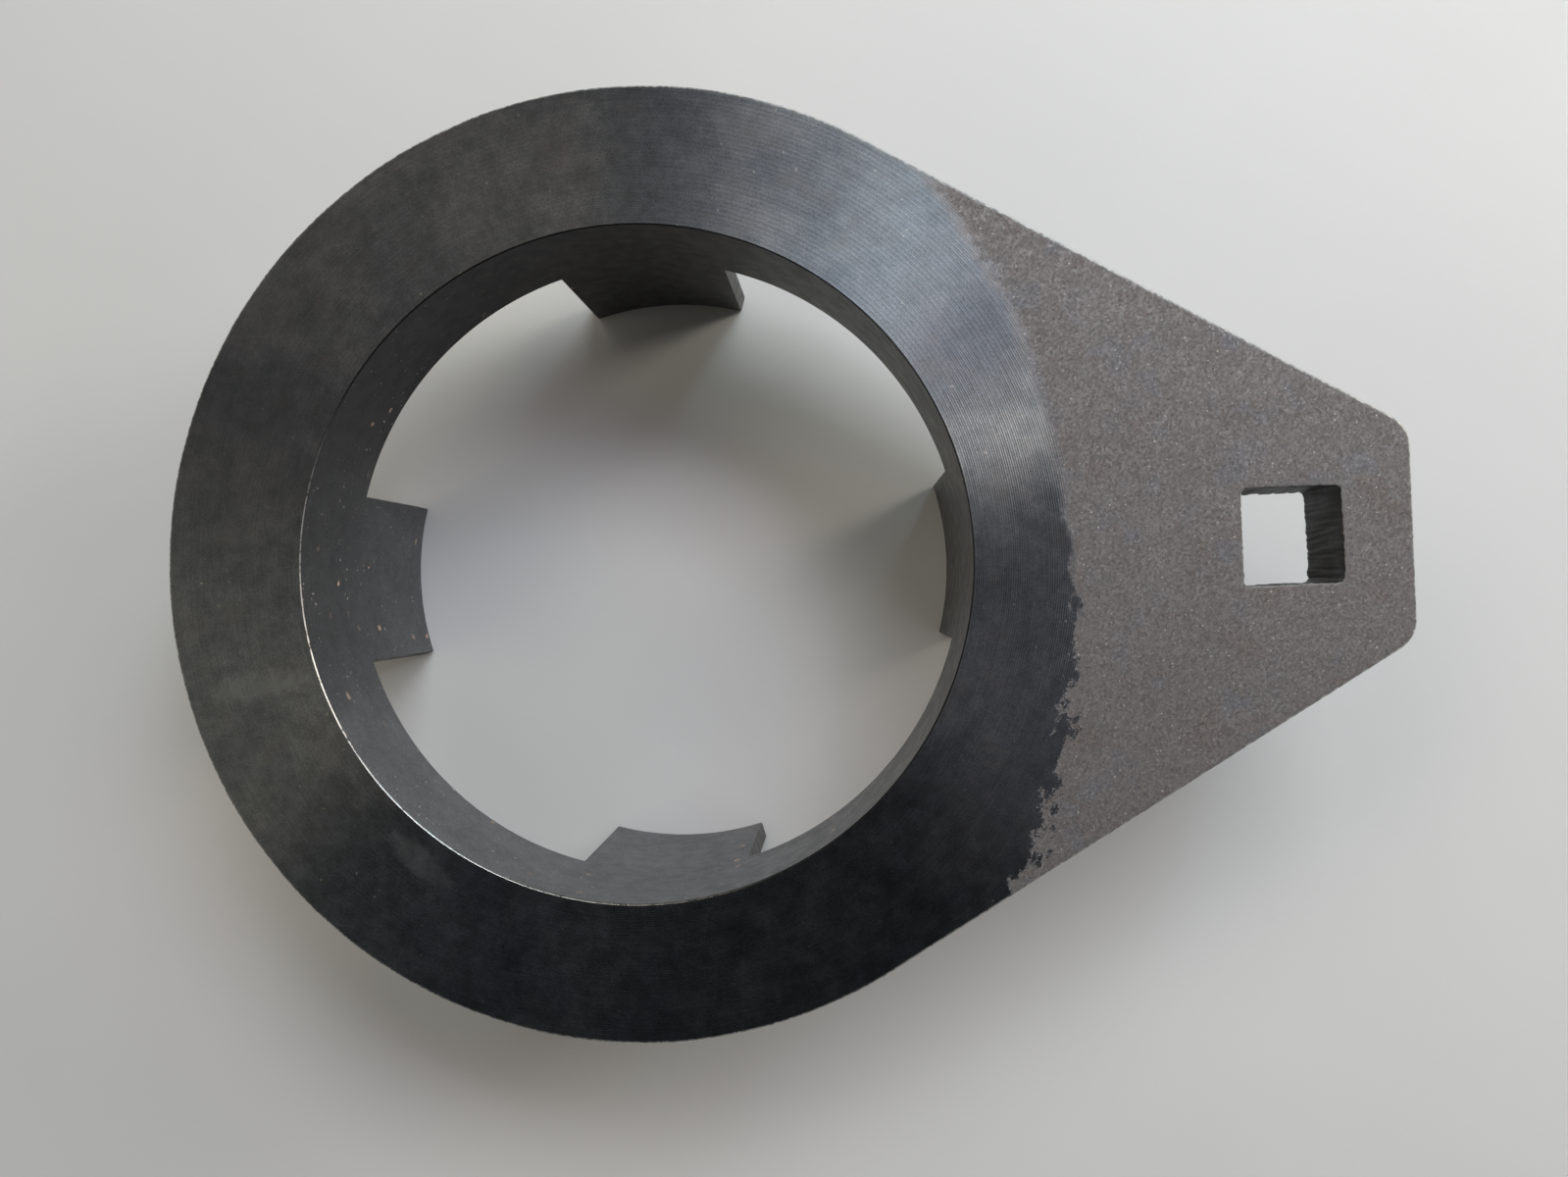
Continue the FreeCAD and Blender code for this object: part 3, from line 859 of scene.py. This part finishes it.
def make_outside_material():
    """The sleeve's outside, its lug flanks and tips: blackened steel, less finely turned."""
    surface = Surface("sleeve_outside")
    cloud = surface.ease(surface.noise(8, 4, 0.6, seed=82), 0.35, 0.65)
    base = surface.blend(cloud, (0.045, 0.044, 0.044), (0.075, 0.073, 0.072))
    grain = surface.ease(surface.noise(0.35, 3, 0.65, seed=25), 0.3, 0.7, 0.7, 1.3)
    base = surface.tint(base, grain)
    lines = surface.noise(1, 3, 0.6, place=surface.around(0.3, 24), seed=14)
    height = surface.plus(
        surface.times(lines, 0.03), surface.times(surface.noise(0.6, 3, 0.6, seed=33), 0.02))
    return surface.finish({
        "Base Color": base,
        "Metallic": 0.3,
        "Roughness": surface.ease(surface.noise(2.0, 4), 0.3, 0.7, 0.42, 0.58),
        "Normal": surface.bump(height),
    })


# Dark and pale colours of the drag lines, their depth in millimetres, and how bare the
# worn edges are.
CUT_LOOK = ((0.038, 0.036, 0.035), (0.085, 0.080, 0.078), 0.05, 0.9)
# The drive hole's wall is the same cut steel painted much darker: painted shade in the recess.
HOLE_SHADE_LOOK = ((0.014, 0.014, 0.013), (0.026, 0.025, 0.024), 0.01, 0.4)


def make_cut_material(name, dark, pale, depth, bare):
    """A thermally cut wall: dark scale with drag lines, worn pale along both edges."""
    surface = Surface(name)
    stretched = surface.vector("MULTIPLY", surface.place, (1.0, 1.0, 0.09))
    lines = surface.noise(0.8, 4, 0.6, place=stretched, seed=6)
    cloud = surface.noise(5, 3, 0.6, seed=16)
    base = surface.blend(surface.ease(lines, 0.32, 0.68), dark, pale)
    base = surface.blend(surface.ease(cloud, 0.45, 0.7, 0.0, 0.5), base, (0.075, 0.060, 0.050))
    from_middle = surface.math(
        "ABSOLUTE", surface.math("SUBTRACT", surface.z, (TOP + UNDERSIDE) / 2 / MM))
    half = (TOP - UNDERSIDE) / 2 / MM
    chips = surface.times(surface.noise(0.9, 4, 0.7, seed=18), 0.9)
    worn = surface.ease(surface.plus(from_middle, chips), half + 0.22, half + 0.40, 0.0, bare)
    base = surface.blend(worn, base, (0.46, 0.46, 0.44))
    height = surface.plus(
        surface.times(lines, depth), surface.times(surface.noise(0.45, 3, 0.65, seed=28), 0.03))
    return surface.finish({
        "Base Color": base,
        "Metallic": 0.4,
        "Roughness": surface.ease(cloud, 0.3, 0.7, 0.45, 0.62),
        "Normal": surface.bump(height),
    })


def make_bead_material():
    """The fillet weld: dark, slightly glossy scale with straw and blue heat tints."""
    surface = Surface("weld_bead")
    cloud = surface.noise(4, 3, 0.6, seed=36)
    base = surface.blend(surface.ease(cloud, 0.35, 0.65), (0.10, 0.095, 0.09), (0.17, 0.165, 0.16))
    heat = surface.ease(surface.noise(6, 2, 0.5, seed=46), 0.5, 0.7, 0.0, 0.5)
    base = surface.blend(heat, base, (0.12, 0.10, 0.12))
    height = surface.times(surface.noise(0.5, 3, 0.6, seed=38), 0.025)
    return surface.finish({
        "Base Color": base,
        "Metallic": 0.7,
        "Roughness": surface.ease(surface.noise(1.5, 3, seed=40), 0.3, 0.7, 0.32, 0.50),
        "Normal": surface.bump(height),
    })


def make_floor_material():
    """A pale grey table with a faint mottle."""
    surface = Surface("pale_floor")
    mottle = surface.noise(40, 3, 0.5, seed=50)
    base = surface.blend(mottle, (0.66, 0.66, 0.655), (0.70, 0.70, 0.695))
    grain = surface.times(surface.noise(0.8, 3, 0.6, seed=52), 0.01)
    return surface.finish({
        "Base Color": base,
        "Roughness": 0.6,
        "Normal": surface.bump(grain),
    })


# Stage, lights and camera

FLOOR_HALF = 1.0


def make_floor():
    bm = start_mesh()
    corners = [(-FLOOR_HALF, -FLOOR_HALF), (FLOOR_HALF, -FLOOR_HALF),
               (FLOOR_HALF, FLOOR_HALF), (-FLOOR_HALF, FLOOR_HALF)]
    bm.faces.new([bm.verts.new((x, y, 0.0)) for x, y in corners])
    mesh = bpy.data.meshes.new("floor")
    bm.to_mesh(mesh)
    bm.free()
    mesh.materials.append(make_floor_material())
    floor = bpy.data.objects.new("floor", mesh)
    bpy.context.scene.collection.objects.link(floor)


def add_window(name, azimuth, elevation, distance, width, height, power, colour):
    """A soft rectangular light that looks at the middle of the part."""
    light = bpy.data.lights.new(name, "AREA")
    light.shape = "RECTANGLE"
    light.size = width
    light.size_y = height
    light.energy = power
    light.color = colour
    turn = math.radians(azimuth)
    lift = math.radians(elevation)
    way = Vector((math.cos(turn) * math.cos(lift), math.sin(turn) * math.cos(lift),
                  math.sin(lift)))
    lamp = bpy.data.objects.new(name, light)
    lamp.location = way * distance + Vector((0, 0, TOP))
    lamp.rotation_euler = way.to_track_quat("Z", "Y").to_euler()
    bpy.context.scene.collection.objects.link(lamp)


# The room's brightness from the horizon up to a height, as a share of straight up.
ROOM_GRADE = {"From Min": 0.05, "From Max": 0.30, "To Min": 0.45, "To Max": 0.02}


def make_room():
    """A dim room: a faint band of light along the horizon, darker above."""
    world = bpy.data.worlds.new("room")
    bpy.context.scene.world = world
    world.use_nodes = True
    nodes = world.node_tree.nodes
    links = world.node_tree.links
    nodes.clear()
    way = nodes.new("ShaderNodeTexCoord")
    split = nodes.new("ShaderNodeSeparateXYZ")
    links.new(way.outputs["Generated"], split.inputs[0])
    grade = nodes.new("ShaderNodeMapRange")
    grade.interpolation_type = "SMOOTHSTEP"
    links.new(split.outputs[2], grade.inputs["Value"])
    for name, value in ROOM_GRADE.items():
        grade.inputs[name].default_value = value
    background = nodes.new("ShaderNodeBackground")
    background.inputs["Color"].default_value = (1.0, 0.985, 0.955, 1.0)
    links.new(grade.outputs["Result"], background.inputs["Strength"])
    output = nodes.new("ShaderNodeOutputWorld")
    links.new(background.outputs[0], output.inputs[0])


CAMERA_PLACE = (29.31, -4.328, 191.408)
CAMERA_RIGHT = (0.997349, -0.039898, -0.060861)
CAMERA_UP = (0.039947, 0.999202, -0.000407)
CAMERA_BACK = (0.060828, -0.002026, 0.998146)
CAMERA_LENS = 25.888


def make_camera():
    """The photograph's viewpoint, just above the arm's root and looking straight down."""
    camera = bpy.data.cameras.new("camera")
    camera.sensor_width = 36
    camera.lens = CAMERA_LENS
    camera.clip_start = 0.005
    camera.clip_end = 20
    turned = Matrix((CAMERA_RIGHT, CAMERA_UP, CAMERA_BACK)).transposed()
    viewer = bpy.data.objects.new("camera", camera)
    viewer.matrix_world = Matrix.Translation(Vector(CAMERA_PLACE) * MM) @ turned.to_4x4()
    bpy.context.scene.collection.objects.link(viewer)
    bpy.context.scene.camera = viewer


# name, azimuth, elevation (degrees), distance, width, height (m), power (W), colour
WINDOWS = (
    ("high_window", 65, 50, 0.80, 0.44, 0.25, 3.10, (0.960, 0.983, 1.000)),
    ("high_window_right", 34, 50, 0.80, 0.30, 0.25, 0.82, (0.814, 0.742, 1.000)),
    ("high_window_back", 120, 50, 0.80, 0.30, 0.25, 0.64, (1.000, 0.909, 0.765)),
    ("high_window_left", 150, 50, 0.80, 0.30, 0.25, 0.38, (1.000, 0.910, 0.820)),
    ("low_window", 57, 32, 0.70, 0.12, 0.34, 0.60, (0.572, 0.850, 1.000)),
    ("low_window_right", 24, 32, 0.70, 0.12, 0.34, 0.52, (0.730, 1.000, 0.808)),
    ("warm_lamp", 23, 18, 0.70, 0.20, 0.25, 1.55, (1.000, 0.835, 0.715)),
    ("pale_wall", 190, 28, 1.00, 0.60, 0.50, 1.38, (1.000, 0.945, 0.740)),
    ("right_wall", 340, 30, 0.90, 0.60, 0.40, 0.90, (0.950, 0.950, 1.000)),
)


def make_lights():
    for window in WINDOWS:
        add_window(*window)


def main():
    faced = make_faced_material()
    skin = make_skin_material()
    cut = make_cut_material("cut_edge", *CUT_LOOK)
    # The drive hole's wall: cut steel with painted shade.
    pierced_shaded = make_cut_material("pierced_edge_painted_shade", *HOLE_SHADE_LOOK)
    make_plate([faced, skin, cut, make_edge_material(), pierced_shaded])
    make_sleeve(
        faced, make_bored_material(), make_outside_material(), make_rubbed_and_highlight_material())
    make_face_weld(faced, skin)
    make_underside_bead(make_bead_material())
    make_floor()
    make_room()
    make_lights()
    make_camera()
    bpy.context.scene.view_settings.view_transform = "Standard"


main()
